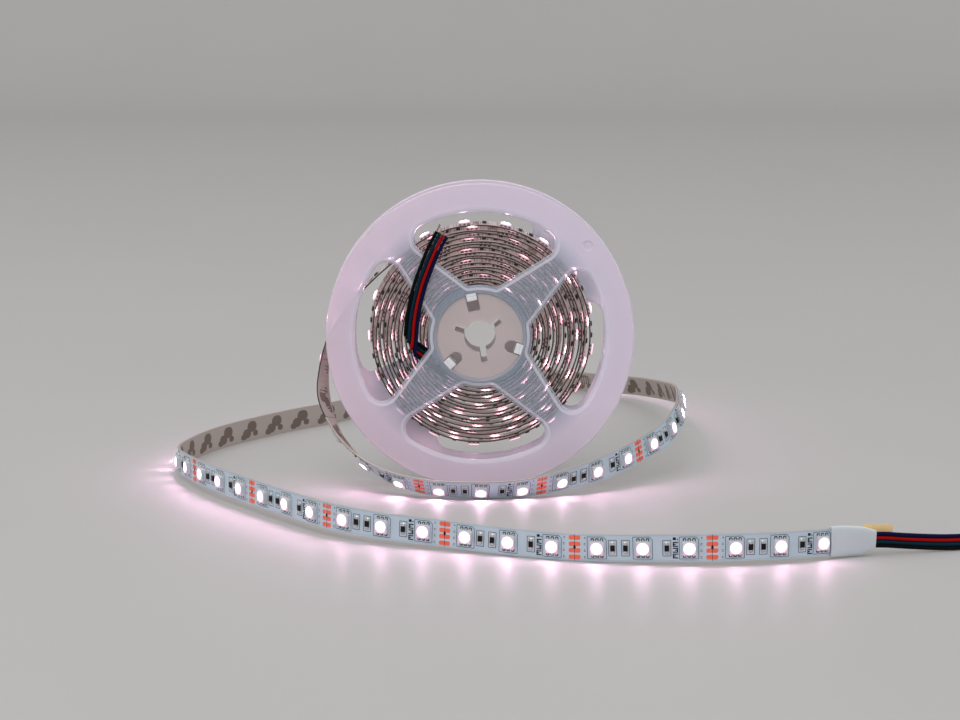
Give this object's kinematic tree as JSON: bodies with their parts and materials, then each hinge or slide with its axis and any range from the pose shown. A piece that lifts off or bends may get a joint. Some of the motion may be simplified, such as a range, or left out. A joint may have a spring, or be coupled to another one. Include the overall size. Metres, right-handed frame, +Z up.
{
  "type": "led strip light reel",
  "caption": "Milky plastic reel of flexible light strip, part unwound into one loose loop, with a bare wire lead at both ends of the strip.",
  "frame": {"origin": "on the surface it stands on, under the middle of the reel and strip without the wire leads", "axes": "+Z up; the reel's axis is along Y and its front flange faces -Y; +X to the right seen from the front"},
  "size_m": [0.3618, 0.3572, 0.1249],
  "materials": {
    "reel_plastic": "milky translucent moulded plastic, satin gloss",
    "wound_strip": "edges of wound circuit board with white lamps between the turns",
    "strip_board": "white lacquered flexible circuit board, satin",
    "tape_liner": "greyish adhesive liner with a plain printed motif",
    "shrink_sleeve": "clear to milky shrink tube",
    "amber_film": "thin amber film",
    "tinned_copper": "bare tinned copper strands",
    "wire_black": "soft wire insulation",
    "wire_green": "soft wire insulation, dark teal green",
    "wire_red": "soft wire insulation",
    "wire_blue": "soft wire insulation, navy blue"
  },
  "bodies": {
    "root": {"front_flange": "reel_plastic", "rear_flange": "reel_plastic", "wound_strip": "wound_strip", "loose_strip_1": "strip_board", "loose_strip_2": "strip_board", "tape_backing_1": "tape_liner", "tape_backing_2": "tape_liner", "end_sleeve": "shrink_sleeve", "end_tab": "amber_film", "outer_wire_black": "wire_black", "outer_tip_black": "tinned_copper", "inner_wire_black": "wire_black", "inner_tip_black": "tinned_copper", "outer_wire_green": "wire_green", "outer_tip_green": "tinned_copper", "inner_wire_green": "wire_green", "inner_tip_green": "tinned_copper", "outer_wire_red": "wire_red", "outer_tip_red": "tinned_copper", "inner_wire_red": "wire_red", "inner_tip_red": "tinned_copper", "outer_wire_blue": "wire_blue", "outer_tip_blue": "tinned_copper", "inner_wire_blue": "wire_blue", "inner_tip_blue": "tinned_copper"}
  },
  "joints": []
}
